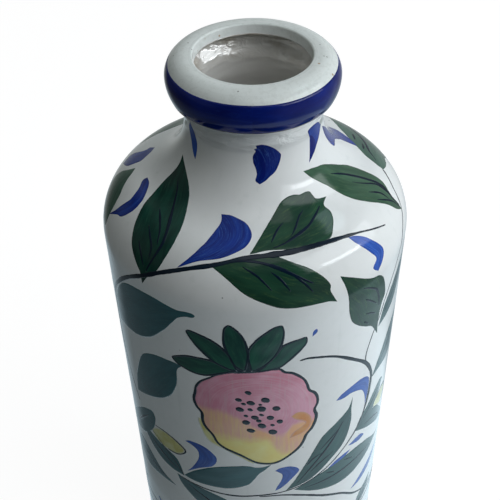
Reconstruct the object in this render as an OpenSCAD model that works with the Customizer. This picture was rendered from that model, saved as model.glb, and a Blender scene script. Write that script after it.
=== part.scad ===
// Hand-painted, tin-glazed earthenware vase with a rolled lip, a short neck and a tall body.
// Units are millimetres. +Z is up, the axis of the pot is Z, and it stands on z = 0.
// Azimuths are in degrees: 0 faces -Y, and they grow towards +X.
// The pot is built as the potter builds it: clay sections luted together at bevelled seams,
// a glaze coat outside, a lining glaze inside, and enamel painted on the glaze.

/* [Body] */
// Total height of the vase
height = 340; // [310:1:380]
// Outer radius of the neck
neck_r = 33; // [31:0.5:36]
// Length of the straight part of the neck under the lip
neck_len = 10.5; // [6:0.5:16]
// Radius of the hollow curve from the neck into the shoulder
fillet_r = 34; // [30:0.5:38]
// Angle that the hollow curve turns through, in degrees
turn = 72; // [60:1:76]
// Radius of the round shoulder
shoulder_r = 29.5; // [26:0.5:34]
// How much the wall leans in towards the foot, in degrees
lean = 1.4; // [0:0.1:2.5]

/* [Lip] */
// Largest radius of the rolled lip
lip_r = 41; // [40:0.5:44]
// Height of the rolled lip
lip_h = 20; // [18:0.5:22]
// Radius of the mouth
mouth_r = 26.5; // [24:0.5:27]
// Height of the narrow throat under the mouth
throat_h = 5.5; // [4:0.5:8]

/* [Wall] */
// Thickness of the wall, with its glazes
wall_t = 4.4; // [4:0.1:5]
// Thickness of each glaze coat
glaze_t = 0.7; // [0.4:0.1:0.9]
// Thickness of the painted enamel
paint_t = 0.25; // [0.2:0.05:0.4]

/* [Foot] */
// Height of the unglazed foot ring
foot_h = 4; // [3:0.5:6]
// Width of the foot ring
foot_w = 8; // [6:0.5:12]
// Radius of the corner between the wall and the underside
corner_r = 8; // [7:0.5:10]
// Height of the blue band above the foot
band_low = 14; // [13:1:18]
// Width of the blue band above the foot
band_w = 7; // [4:1:10]

/* [Hidden] */

$fn = 96;
arc_steps = 14;

// Lip: a round upper edge, a fuller lower edge, and a soft inner edge
lip_upper_r = 10;
lip_lower_r = 18.5;
lip_edge_r = 0.8;
mouth_edge_r = 2.5;
lip_low = height - lip_h;
lip_lower_turn = asin((lip_h - lip_upper_r - lip_edge_r) / lip_lower_r);
// Angle on the upper edge where the blue of the lip begins
lip_paint_angle = 38;

// Centres of the curves of the wall, as [radius, height]
neck_low = lip_low - neck_len;
fillet_c = [neck_r + fillet_r, neck_low];
shoulder_c = fillet_c - (fillet_r + shoulder_r) * [cos(turn), sin(turn)];
wall_top = shoulder_c + shoulder_r * [cos(lean), -sin(lean)];
corner_z = foot_h + corner_r;
corner_c = [wall_top.x - ((wall_top.y - corner_z) * sin(lean) + corner_r) / cos(lean), corner_z];

// Seams between the clay sections, as [point on the surface, slope of the cut in degrees]
bevel = -30;
fillet_seam = 45;
lip_seam = [[neck_r, lip_low - 1.5], bevel];
neck_seam = [fillet_c - fillet_r * [cos(fillet_seam), sin(fillet_seam)], fillet_seam];
shoulder_seam = [wall_top - [0, 4], bevel];
base_seam = [[corner_c.x + corner_r, corner_z + 6], bevel];

// Points along an arc round c, from angle a0 to angle a1
function arc(c, r, a0, a1, n = arc_steps) =
    [for (i = [0:n]) let (a = a0 + (a1 - a0) * i / n) c + r * [cos(a), sin(a)]];

function reversed(list) = [for (i = [len(list) - 1:-1:0]) list[i]];

// The curve of the wall from the foot up to the neck, at depth t under the outer surface
function wall_line(t) = concat(
    arc(corner_c, corner_r - t, -90, -lean),
    arc(shoulder_c, shoulder_r - t, -lean, turn),
    arc(fillet_c, fillet_r + t, 180 + turn, 180)
);

// The round outside of the lip at depth t, between two angles on its lower and upper curves
function lip_curve(t, a0, a1) = concat(
    arc([lip_r - lip_lower_r, height - lip_upper_r], lip_lower_r - t, a0, 0, 10),
    arc([lip_r - lip_upper_r, height - lip_upper_r], lip_upper_r - t, 0, a1, 10)
);

// The whole outside of the pot at depth t, up over the lip and down the throat
function outer_line(t) = let (
    mouth_c = [mouth_r + mouth_edge_r, height - mouth_edge_r],
    low_end = [lip_r - lip_lower_r, height - lip_upper_r]
        + (lip_lower_r - lip_edge_r) * [cos(lip_lower_turn), -sin(lip_lower_turn)]
) concat(
    wall_line(t),
    [[neck_r - t, lip_low + t]],
    arc(low_end, lip_edge_r - min(t, lip_edge_r / 2), -90, -lip_lower_turn, 4),
    lip_curve(t, -lip_lower_turn, 90),
    arc(mouth_c, mouth_edge_r - t, 90, 180, 6),
    [[mouth_r + t, height - throat_h]]
);

// The whole inside of the pot, from the throat down to the middle of the floor, at depth t
function inner_line(t) = concat(
    [[neck_r - wall_t + t, height - throat_h - (wall_t - t)]],
    reversed(wall_line(wall_t - t)),
    [[0, foot_h + wall_t - t]]
);

// Cross-section of the clay
module clay_section() polygon(concat(
    [[0, foot_h], [corner_c.x, foot_h]],
    outer_line(glaze_t),
    inner_line(glaze_t)
));

// Everything below the cut of a seam
module below(seam) translate(seam[0]) rotate(seam[1]) translate([-2 * height, -4 * height])
    square([4 * height, 4 * height]);

// A section of clay, between two seams
module clay_between(low, high) rotate_extrude() intersection() {
    difference() {
        clay_section();
        below(low);
    }
    below(high);
}

module foot_ring() color("tan") rotate_extrude()
    translate([corner_c.x - foot_w, 0]) square([foot_w, foot_h]);

module base_dish() color("tan") rotate_extrude() intersection() {
    clay_section();
    below(base_seam);
}

module body_wall() color("tan") clay_between(base_seam, shoulder_seam);

module shoulder() color("tan") clay_between(shoulder_seam, neck_seam);

module neck() color("tan") clay_between(neck_seam, lip_seam);

module lip_ring() color("tan") rotate_extrude() difference() {
    clay_section();
    below(lip_seam);
}

module outer_glaze() color("ghostwhite") rotate_extrude()
    polygon(concat(outer_line(0), reversed(outer_line(glaze_t))));

module lining_glaze() color("gainsboro") rotate_extrude()
    polygon(concat(inner_line(0), reversed(inner_line(glaze_t))));

module lip_band() color("navy") rotate_extrude() polygon(concat(
    lip_curve(-paint_t, -lip_lower_turn, lip_paint_angle),
    reversed(lip_curve(0, -lip_lower_turn, lip_paint_angle))
));

module foot_band() color("navy") rotate_extrude() {
    leaning_in = tan(lean);
    low_r = wall_top.x - (wall_top.y - band_low) * leaning_in;
    high_r = low_r + band_w * leaning_in;
    polygon([
        [low_r, band_low],
        [low_r + paint_t, band_low],
        [high_r + paint_t, band_low + band_w],
        [high_r, band_low + band_w]
    ]);
}

foot_ring();
base_dish();
body_wall();
shoulder();
neck();
lip_ring();
outer_glaze();
lining_glaze();
lip_band();
foot_band();
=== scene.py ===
"""Looks of a hand-painted, tin-glazed pottery vase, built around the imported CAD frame.

Shapes are worked out in millimetres and made in metres. A point on the wall is given by its
azimuth in degrees (0 faces -Y, growing towards +X) and by s, the distance down the wall in
millimetres from the foot of the lip. All paint is thin closed geometry lying on the glaze.
"""
import math
import random

import bpy
import numpy as np
from mathutils import Matrix, Quaternion, Vector


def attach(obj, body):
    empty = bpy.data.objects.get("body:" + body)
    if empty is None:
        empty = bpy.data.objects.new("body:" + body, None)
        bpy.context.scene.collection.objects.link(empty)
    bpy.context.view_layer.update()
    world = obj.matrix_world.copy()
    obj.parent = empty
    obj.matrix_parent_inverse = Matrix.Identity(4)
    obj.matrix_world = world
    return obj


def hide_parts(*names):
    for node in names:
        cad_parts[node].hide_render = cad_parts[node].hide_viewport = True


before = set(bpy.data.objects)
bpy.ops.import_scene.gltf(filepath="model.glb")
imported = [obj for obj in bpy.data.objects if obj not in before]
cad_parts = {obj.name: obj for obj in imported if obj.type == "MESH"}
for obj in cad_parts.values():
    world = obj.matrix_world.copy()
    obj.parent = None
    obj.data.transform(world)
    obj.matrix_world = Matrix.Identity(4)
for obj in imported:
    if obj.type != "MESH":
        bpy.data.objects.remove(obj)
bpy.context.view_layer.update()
scene = bpy.context.scene

# ---------------------------------------------------------------- camera
CAMERA_AT = (0, -0.39912, 0.55973)
PITCH, YAW, ROLL = math.radians(40.12), math.radians(-0.415), math.radians(-1.126)
camera_data = bpy.data.cameras.new("camera")
camera = bpy.data.objects.new("camera", camera_data)
scene.collection.objects.link(camera)
scene.camera = camera
camera_data.sensor_width = 36.0
camera_data.lens = 71.48
camera_data.clip_start, camera_data.clip_end = 0.01, 20.0
forward = Vector((math.sin(YAW) * math.cos(PITCH), math.cos(YAW) * math.cos(PITCH), -math.sin(PITCH)))
level = forward.cross(Vector((0, 0, 1))).normalized()
upward = level.cross(forward)
right = math.cos(ROLL) * level + math.sin(ROLL) * upward
up = -math.sin(ROLL) * level + math.cos(ROLL) * upward
camera.matrix_world = Matrix.Translation(CAMERA_AT) @ Matrix((right, up, -forward)).transposed().to_4x4()

# ---------------------------------------------------------------- outline of the pot, in mm
MM = 0.001              # a millimetre in metres
INSET = 0.35            # the glaze skin lies this far inside the CAD outline
LIP_TOP, LIP_H = 340.0, 20.5
NECK_R, NECK_END = 33.0, 10.0
HOLLOW_R, SHOULDER_R, TURN = 34.0, 29.5, math.radians(72)
LEAN = math.radians(1.4)
NECK_TOP = LIP_TOP - LIP_H
HOLLOW_C = (NECK_R + HOLLOW_R, NECK_TOP - NECK_END)
SHOULDER_C = (HOLLOW_C[0] - (HOLLOW_R + SHOULDER_R) * math.cos(TURN),
              HOLLOW_C[1] - (HOLLOW_R + SHOULDER_R) * math.sin(TURN))
S_HOLLOW = NECK_END + HOLLOW_R * TURN
S_WALL = S_HOLLOW + SHOULDER_R * (TURN + LEAN)
WALL_TOP = (SHOULDER_C[0] + SHOULDER_R * math.cos(LEAN), SHOULDER_C[1] - SHOULDER_R * math.sin(LEAN))
CORNER_R, CORNER_Z = 8.0, 12.0
S_CORNER = S_WALL + (WALL_TOP[1] - CORNER_Z) / math.cos(LEAN)
S_END = S_CORNER + CORNER_R * (math.pi / 2 - LEAN)
CORNER_X = WALL_TOP[0] - (S_CORNER - S_WALL) * math.sin(LEAN) - CORNER_R * math.cos(LEAN)


def wall(s):
    """Radius, height and direction of the outward normal (angle above level) of the CAD outline at s."""
    s = np.asarray(s, float)
    hollow = np.clip((s - NECK_END) / HOLLOW_R, 0, TURN)
    swell = TURN - np.clip((s - S_HOLLOW) / SHOULDER_R, 0, TURN + LEAN)
    corner = -LEAN - np.clip((s - S_CORNER) / CORNER_R, 0, math.pi / 2 - LEAN)
    down = np.clip(s - S_WALL, 0, S_CORNER - S_WALL)
    stretches = [s < NECK_END, s < S_HOLLOW, s < S_WALL, s < S_CORNER]
    r = np.select(stretches, [NECK_R + 0 * s, HOLLOW_C[0] - HOLLOW_R * np.cos(hollow),
                              SHOULDER_C[0] + SHOULDER_R * np.cos(swell),
                              WALL_TOP[0] - down * math.sin(LEAN)],
                  CORNER_X + CORNER_R * np.cos(corner))
    z = np.select(stretches, [NECK_TOP - s, HOLLOW_C[1] - HOLLOW_R * np.sin(hollow),
                              SHOULDER_C[1] + SHOULDER_R * np.sin(swell),
                              WALL_TOP[1] - down * math.cos(LEAN)],
                  CORNER_Z + CORNER_R * (np.sin(corner) + math.sin(LEAN)))
    n = np.select(stretches, [0 * s, hollow, swell, -LEAN + 0 * s], corner)
    return r, z, n


def unevenness(azimuth, z):
    """How far the hand-thrown wall stands in or out, in mm: slow waves and faint throwing rings."""
    t = np.radians(azimuth)
    slow = (0.07 * np.sin(2 * t + 0.8 + z / 90) + 0.04 * np.sin(3 * t - z / 37)
            + 0.03 * np.sin(5 * t + z / 23))
    rings = 0.012 * np.sin(z / 1.9 + 0.8 * np.sin(t)) + 0.02 * np.sin(z / 5.3 + t)
    return slow + rings


def round_axis(azimuth, r, z):
    """Points in metres round the axis of the pot, from degrees and mm."""
    t = np.radians(azimuth)
    return np.stack([r * np.sin(t), -r * np.cos(t), z + 0 * t], -1) * MM


def on_wall(azimuth, s, lift=0.0):
    """Points in metres on the glaze skin at azimuth and s, lift mm above it."""
    r, z, n = wall(s)
    out = np.asarray(lift) - INSET + unevenness(azimuth, z) * np.clip(np.asarray(s) / 6, 0, 1)
    return round_axis(azimuth, r + out * np.cos(n), z + out * np.sin(n))


# ---------------------------------------------------------------- meshes
def new_object(name, points, faces, brush=None):
    """A mesh object. brush is one (along, across, edge) vector a point, in mm, for the paints."""
    mesh = bpy.data.meshes.new(name)
    mesh.from_pydata([tuple(p) for p in points], [], [tuple(f) for f in faces])
    mesh.validate()
    if brush is not None:
        layer = mesh.attributes.new("brush", "FLOAT_VECTOR", "POINT")
        layer.data.foreach_set("vector", np.asarray(brush, np.float32).ravel())
    mesh.shade_smooth()
    obj = bpy.data.objects.new(name, mesh)
    scene.collection.objects.link(obj)
    return obj


def finish_piece(obj, material, slot, *stands_for):
    """Gives a piece its material and its body, and hides the CAD nodes it stands for. slot is not used."""
    obj.data.materials.append(material)
    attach(obj, "root")
    if stands_for:
        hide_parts(*stands_for)
    return obj


def grid_faces(rows, columns, start=0, close_columns=False, flip=False):
    """Quads of a grid of points stored row by row."""
    faces = []
    for i in range(rows - 1):
        for j in range(columns if close_columns else columns - 1):
            k = (j + 1) % columns
            quad = (start + i * columns + j, start + i * columns + k,
                    start + (i + 1) * columns + k, start + (i + 1) * columns + j)
            faces.append(quad[::-1] if flip else quad)
    return faces


def lathe(name, outline, turns, rough=None):
    """A closed solid of revolution. outline is a closed loop of (r, z) in mm, going anticlockwise.
    rough(azimuth, r, z) moves a point out along r, in mm."""
    azimuth = np.linspace(0, 360, turns, endpoint=False)
    rows = [round_axis(azimuth, r + (rough(azimuth, r, z) if rough else 0 * azimuth), z)
            for r, z in np.asarray(outline, float)]
    faces = grid_faces(len(rows), turns, close_columns=True)
    last = (len(rows) - 1) * turns
    faces += [(last + j, last + (j + 1) % turns, (j + 1) % turns, j) for j in range(turns)]
    return new_object(name, np.concatenate(rows), faces)


def arc(centre, radius, a0, a1, count):
    """Points (r, z) on an arc, angles in degrees."""
    a = np.radians(np.linspace(a0, a1, count))
    return [(centre[0] + radius * math.cos(x), centre[1] + radius * math.sin(x)) for x in a]


DEGREE_MM = 1.2         # about what a degree spans, for spacing points out


def rough_steps(points):
    """The distance from each point to the next, in mm, taking a degree as DEGREE_MM."""
    return np.linalg.norm(np.diff(points, axis=0) * (DEGREE_MM, 1.0), axis=1)


def smooth_curve(points, count, closed=False):
    """count points on a Catmull-Rom curve through points, evenly spaced along it."""
    p = np.asarray(points, float)
    if closed:
        p = np.concatenate([p[-1:], p, p[:2]])
    else:
        p = np.concatenate([2 * p[:1] - p[1:2], p, 2 * p[-1:] - p[-2:-1]])
    fine = []
    u = np.linspace(0, 1, 12, endpoint=False)[:, None]
    for a, b, c, d in zip(p, p[1:], p[2:], p[3:]):
        fine.append(0.5 * (2 * b + (c - a) * u + (2 * a - 5 * b + 4 * c - d) * u * u
                           + (3 * b - a - 3 * c + d) * u ** 3))
    fine = np.concatenate(fine + [p[-2:-1]])
    run = np.concatenate([[0], np.cumsum(rough_steps(fine))])
    at = np.linspace(0, run[-1], count + 1)[:-1] if closed else np.linspace(0, run[-1], count)
    return np.stack([np.interp(at, run, fine[:, k]) for k in (0, 1)], -1)


def mm_per_degree(s):
    return wall(s)[0] * math.pi / 180


def mm_scale(points):
    """What turns a step in (degrees, mm) at each point into mm both ways."""
    return np.stack([mm_per_degree(points[:, 1]), np.ones(len(points))], -1)


def wavy(count, size, rng, smooth=3):
    """count small random steps, in mm, eased so that they read as the edge of a brush stroke."""
    steps = np.array([rng.gauss(0, 1) for _ in range(count + 2 * smooth)])
    kernel = np.ones(2 * smooth + 1) / (2 * smooth + 1)
    return np.convolve(steps, kernel, "valid")[:count] * size


def shell(name, top, bottom, rows, columns, brush, closed=False):
    """A thin closed solid from two grids of points; closed grids join their last row to their first."""
    points = np.concatenate([top, bottom])
    n = rows * columns
    if closed:
        faces = []
        for i in range(rows):
            k = (i + 1) % rows
            for j in range(columns - 1):
                a, b, c, d = i * columns + j, i * columns + j + 1, k * columns + j + 1, k * columns + j
                faces += [(a, b, c, d), (n + d, n + c, n + b, n + a)]
            for j, out in ((0, False), (columns - 1, True)):
                a, b = i * columns + j, k * columns + j
                side = (a, b, n + b, n + a)
                faces.append(side[::-1] if out else side)
    else:
        faces = grid_faces(rows, columns) + grid_faces(rows, columns, n, flip=True)
        for j in range(columns - 1):
            faces.append((j + 1, j, n + j, n + j + 1))
            a = (rows - 1) * columns + j
            faces.append((a, a + 1, n + a + 1, n + a))
        for i in range(rows - 1):
            a, b = i * columns, (i + 1) * columns
            faces.append((a, b, n + b, n + a))
            a, b = a + columns - 1, b + columns - 1
            faces.append((b, a, n + a, n + b))
    return new_object(name, points, faces, np.concatenate([brush, brush]))


LINE_LIFT, FILL_LIFT, SUNK = 0.07, 0.04, -0.12    # tops and underside of the paint, from the skin


def patch(name, start, side_a, side_b, end, lift=FILL_LIFT, jag=0.16, across=14, spacing=1.1):
    """A painted shape between two edges that run from start to end, as a thin closed solid."""
    rng = random.Random(name)
    outline = np.concatenate([[start], side_a, [end]])
    rows = max(8, int(np.sum(rough_steps(outline)) / spacing))
    edge_a = smooth_curve([start, *side_a, end], rows)
    edge_b = smooth_curve([start, *side_b, end], rows)
    gap = (edge_b - edge_a) * mm_scale(edge_a)
    width = np.maximum(np.linalg.norm(gap, axis=1), 1e-6)
    away = gap / width[:, None]
    near_tip = np.clip(width / 2.0, 0, 1)
    for side, sign in ((edge_a, -1), (edge_b, 1)):
        side += (wavy(rows, jag, rng) * near_tip)[:, None] * away * sign / mm_scale(side)
    # columns lie closer together near both edges
    v = np.linspace(0, 1, across)
    v = 0.5 - 0.5 * np.cos(v * math.pi) * (0.65 + 0.35 * np.abs(np.cos(v * math.pi)))
    v = (v - v[0]) / (v[-1] - v[0])
    flat = (edge_a[:, None] * (1 - v[:, None]) + edge_b[:, None] * v[:, None]).reshape(-1, 2)
    middle = (edge_a + edge_b) / 2
    steps = np.linalg.norm(np.diff(middle, axis=0) * mm_scale(middle[1:]), axis=1)
    run = np.concatenate([[0], np.cumsum(steps)])
    edge = np.minimum(v, 1 - v)[None] * width[:, None]
    edge = np.minimum(edge, np.minimum(run, run[-1] - run)[:, None] * 0.8)
    brush = np.stack([np.repeat(run, across), ((v - 0.5)[None] * width[:, None]).ravel(), edge.ravel()], -1)
    rise = lift * np.clip(edge / 0.35, 0.45, 1).ravel()
    return shell(name, on_wall(*flat.T, rise), on_wall(*flat.T, SUNK), rows, across, brush)


def stroke(name, points, widths, lift=LINE_LIFT, closed=False, jag=0.07, spacing=0.9, across=7):
    """A painted line along points. widths are half widths in mm, spread evenly along it."""
    rng = random.Random(name)
    rows = max(6, int(np.sum(rough_steps(np.asarray(points, float))) / spacing))
    mid = smooth_curve(points, rows, closed)
    scale = mm_scale(mid)
    if closed:
        way = (np.roll(mid, -1, 0) - np.roll(mid, 1, 0)) * scale
    else:
        way = np.gradient(mid, axis=0) * scale
    way /= np.maximum(np.linalg.norm(way, axis=1), 1e-9)[:, None]
    side = np.stack([-way[:, 1], way[:, 0]], -1)
    half = np.interp(np.linspace(0, 1, rows), np.linspace(0, 1, len(widths)), widths)
    half = half * (1 + wavy(rows, 0.22, rng)) + wavy(rows, jag, rng) * 0.5
    if not closed:
        from_end = np.minimum(np.arange(rows), np.arange(rows)[::-1]) * spacing
        half = half * np.sqrt(np.clip((from_end + 0.15) / np.maximum(half * 1.6, 0.3), 0, 1))
    half = np.maximum(half, 0.06)
    v = np.linspace(-1, 1, across)
    flat = (mid[:, None] + v[None, :, None] * half[:, None, None] * (side / scale)[:, None]).reshape(-1, 2)
    run = np.arange(rows) * spacing
    edge = (1 - np.abs(v))[None] * half[:, None]
    brush = np.stack([np.repeat(run, across), (v[None] * half[:, None]).ravel(), edge.ravel()], -1)
    rise = lift * np.clip(0.55 + edge.ravel() * 3.0, 0, 1)
    return shell(name, on_wall(*flat.T, rise), on_wall(*flat.T, SUNK), rows, across, brush, closed)


def blob(name, outline, centre, lift=FILL_LIFT, rings=16, count=None, jag=0.0):
    """A painted area inside a closed outline, filled out from its centre. The brush vector is the
    place of a point from the centre, in mm, and its distance from the edge."""
    rng = random.Random(name)
    count = count or max(16, 4 * len(outline))
    rim = smooth_curve(outline, count, closed=True)
    centre = np.asarray(centre, float)
    if jag:
        rim = centre + (rim - centre) * (1 + wavy(count, jag, rng)[:, None])
    steps = np.linspace(0.02, 1, rings) ** 0.9
    flat = (centre + (rim - centre)[None] * steps[:, None, None]).reshape(-1, 2)
    place = (flat - centre) * mm_scale(flat)
    reach = np.linalg.norm((rim - centre) * mm_scale(rim), axis=1)
    edge = ((1 - steps)[:, None] * reach[None]).ravel()
    brush = np.concatenate([np.column_stack([place, edge]), [[0, 0, reach.mean()]]])
    rise = lift * np.clip(edge / 0.5, 0.3, 1)
    top = np.concatenate([on_wall(*flat.T, rise), on_wall(*centre[:, None], lift)])
    bottom = np.concatenate([on_wall(*flat.T, SUNK), on_wall(*centre[:, None], SUNK)])
    n = len(top)
    faces = grid_faces(rings, count, close_columns=True)
    faces += [(f[3] + n, f[2] + n, f[1] + n, f[0] + n) for f in faces]
    last = (rings - 1) * count
    for j in range(count):
        k = (j + 1) % count
        faces += [(k, j, n - 1), (n + j, n + k, 2 * n - 1),
                  (last + j, last + k, n + last + k, n + last + j)]
    return new_object(name, np.concatenate([top, bottom]), faces, np.concatenate([brush, brush]))


# ---------------------------------------------------------------- materials
class Nodes:
    """Short names for building a node material."""

    def __init__(self, name):
        self.material = bpy.data.materials.new(name)
        self.material.use_nodes = True
        self.tree = self.material.node_tree
        self.tree.nodes.clear()
        self.out = self.add("ShaderNodeOutputMaterial")
        self.shader = self.add("ShaderNodeBsdfPrincipled")
        self.link(self.shader.outputs[0], self.out.inputs["Surface"])

    def add(self, kind, **values):
        node = self.tree.nodes.new(kind)
        for key, value in values.items():
            setattr(node, key, value)
        return node

    def link(self, a, b):
        self.tree.links.new(a, b)

    def put(self, socket, value):
        if isinstance(value, bpy.types.NodeSocket):
            self.link(value, socket)
        else:
            socket.default_value = value

    def math(self, operation, *values):
        node = self.add("ShaderNodeMath", operation=operation)
        for socket, value in zip(node.inputs, values):
            self.put(socket, value)
        return node.outputs[0]

    def times(self, a, b):
        return self.math("MULTIPLY", a, b)

    def plus(self, a, b):
        return self.math("ADD", a, b)

    def minus(self, a, b):
        return self.math("SUBTRACT", a, b)

    def most(self, a, b):
        return self.math("MAXIMUM", a, b)

    def reach(self, x, y):
        """How far (x, y) is from zero."""
        return self.math("SQRT", self.plus(self.times(x, x), self.times(y, y)))

    def ramp(self, value, low, high, a=0.0, b=1.0):
        """value moved from low..high to a..b, eased and clamped."""
        node = self.add("ShaderNodeMapRange", interpolation_type="SMOOTHSTEP")
        for socket, v in zip(node.inputs, (value, low, high, a, b)):
            self.put(socket, v)
        return node.outputs[0]

    def mix(self, factor, a, b):
        node = self.add("ShaderNodeMix", data_type="RGBA")
        for key, value in ((0, factor), (6, a), (7, b)):
            if not isinstance(value, bpy.types.NodeSocket) and key:
                value = (*value, 1.0)
            self.put(node.inputs[key], value)
        return node.outputs[2]

    def noise(self, vector, scale, detail=3.0, rough=0.5, distortion=0.0):
        node = self.add("ShaderNodeTexNoise")
        for key, value in (("Vector", vector), ("Scale", scale), ("Detail", detail),
                           ("Roughness", rough), ("Distortion", distortion)):
            self.put(node.inputs[key], value)
        return node.outputs["Fac"]

    def place(self):
        return self.add("ShaderNodeTexCoord").outputs["Object"]

    def place_on_sky(self):
        return self.add("ShaderNodeTexCoord").outputs["Generated"]

    def brush(self):
        return self.add("ShaderNodeAttribute", attribute_name="brush").outputs["Vector"]

    def stretch(self, vector, scale, move=(0, 0, 0)):
        node = self.add("ShaderNodeMapping")
        self.put(node.inputs["Vector"], vector)
        node.inputs["Scale"].default_value = scale
        node.inputs["Location"].default_value = move
        return node.outputs[0]

    def vector(self, x, y):
        node = self.add("ShaderNodeCombineXYZ")
        self.put(node.inputs[0], x)
        self.put(node.inputs[1], y)
        return node.outputs[0]

    def shift(self, vector, move):
        return self.stretch(vector, (1, 1, 1), move)

    def split(self, vector):
        node = self.add("ShaderNodeSeparateXYZ")
        self.put(node.inputs[0], vector)
        return node.outputs

    def bump(self, height, distance, strength=1.0):
        node = self.add("ShaderNodeBump")
        node.inputs["Strength"].default_value = strength
        node.inputs["Distance"].default_value = distance
        self.put(node.inputs["Height"], height)
        return node.outputs[0]

    def finish(self, colour, roughness, normal=None, ior=1.41):
        self.put(self.shader.inputs["Base Color"], colour)
        self.put(self.shader.inputs["Roughness"], roughness)
        self.shader.inputs["IOR"].default_value = ior
        if normal is not None:
            self.put(self.shader.inputs["Normal"], normal)
        return self.material


def speck_mask(m, where, scale, size, chance):
    """Scattered dots: near a random point of a cell, in those cells whose random number is small."""
    cells = m.add("ShaderNodeTexVoronoi")
    m.put(cells.inputs["Vector"], where)
    cells.inputs["Scale"].default_value = scale
    near = m.ramp(cells.outputs["Distance"], size, size * 0.4)
    chosen = m.math("LESS_THAN", m.split(cells.outputs["Color"])[0], chance)
    return m.times(near, chosen)


def spots_at(m, where, points, size):
    """Dots of one size round a few chosen points."""
    found = 0.0
    for point in points:
        away = m.add("ShaderNodeVectorMath", operation="DISTANCE")
        m.put(away.inputs[0], where)
        away.inputs[1].default_value = point
        found = m.most(found, m.ramp(away.outputs["Value"], size, size * 0.5))
    return found


LIP_DARK_DOTS = ((0.0319, -0.0041, 0.3394), (0.0332, -0.0045, 0.3393), (-0.0295, 0.0099, 0.3395),
                 (-0.0064, -0.0329, 0.3394))
LIP_RUST_DOTS = ((0.0293, -0.0108, 0.3395), (-0.0215, 0.0163, 0.3381))


def glaze_material():
    """Tin-white glaze: cool, slightly cloudy, with pinholes, rusty specks, ridges and a duller lip, and
    painted paler on the wall below the shoulder as painted light.
    """
    m = Nodes("tin_white_glaze")
    where = m.place()
    x, y, z = m.split(where)[:3]
    cloud = m.noise(where, 22.0, 4.0, 0.55)
    fine = m.noise(where, 160.0, 3.0, 0.6)
    colour = m.mix(m.ramp(cloud, 0.3, 0.7), (0.745, 0.765, 0.765), (0.8, 0.82, 0.815))
    # painted light: the glaze is paler on the wall below the shoulder, standing in for the wall being lit
    # more brightly
    colour = m.mix(m.ramp(z, 0.275, 0.24, 0, 0.8), colour, (0.86, 0.875, 0.87))
    colour = m.mix(m.ramp(fine, 0.45, 0.75, 0, 0.12), colour, (0.62, 0.66, 0.62))
    reach = m.reach(x, y)
    on_lip = m.ramp(z, 0.3345, 0.3362)
    lip_top = m.times(on_lip, m.times(m.ramp(reach, 0.0284, 0.0296), m.ramp(reach, 0.037, 0.0352)))
    colour = m.mix(m.times(on_lip, 0.9), colour, (0.69, 0.73, 0.71))
    grain = m.noise(where, 430.0, 3.0, 0.7, 0.4)
    colour = m.mix(m.times(on_lip, m.ramp(grain, 0.46, 0.68, 0, 0.34)), colour, (0.52, 0.55, 0.52))
    # runs of thinner glaze down the neck and shoulder
    runs = m.noise(m.stretch(where, (260, 260, 12)), 1.0, 2.0, 0.5)
    colour = m.mix(m.ramp(runs, 0.62, 0.8, 0, 0.16), colour, (0.5, 0.56, 0.54))
    # dark and rusty specks, thicker on the lip, and the larger dots there
    dark = m.most(speck_mask(m, where, 130.0, 0.07, 0.2),
                  m.times(on_lip, speck_mask(m, m.shift(where, (5.0, 2.0, 7.0)), 210.0, 0.1, 0.6)))
    rust = m.most(speck_mask(m, m.shift(where, (3.1, 1.7, 0.4)), 75.0, 0.08, 0.1),
                  m.times(on_lip, speck_mask(m, m.shift(where, (1.0, 8.0, 3.0)), 120.0, 0.1, 0.45)))
    dark = m.most(dark, spots_at(m, where, LIP_DARK_DOTS, 0.00055))
    rust = m.most(rust, spots_at(m, where, LIP_RUST_DOTS, 0.0008))
    colour = m.mix(m.times(dark, 0.75), colour, (0.1, 0.1, 0.085))
    colour = m.mix(m.times(rust, 0.8), colour, (0.34, 0.2, 0.08))
    height = m.plus(m.times(fine, 0.2), m.times(m.noise(m.stretch(where, (18, 18, 150)), 1.0, 2.0), 0.5))
    height = m.minus(height, m.times(dark, 1.5))
    # glaze gathered in folds under the lip
    under_lip = m.times(m.ramp(z, 0.3065, 0.3115), m.ramp(z, 0.3225, 0.3205))
    folds = m.noise(m.stretch(where, (70, 70, 200)), 1.0, 3.0, 0.55, 0.6)
    height = m.plus(height, m.times(under_lip, m.times(60.0, folds)))
    rough = m.plus(m.ramp(fine, 0.3, 0.8, 0.035, 0.07), m.times(lip_top, 0.26))
    return m.finish(colour, rough, m.bump(height, 0.00006, 0.5))


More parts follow.
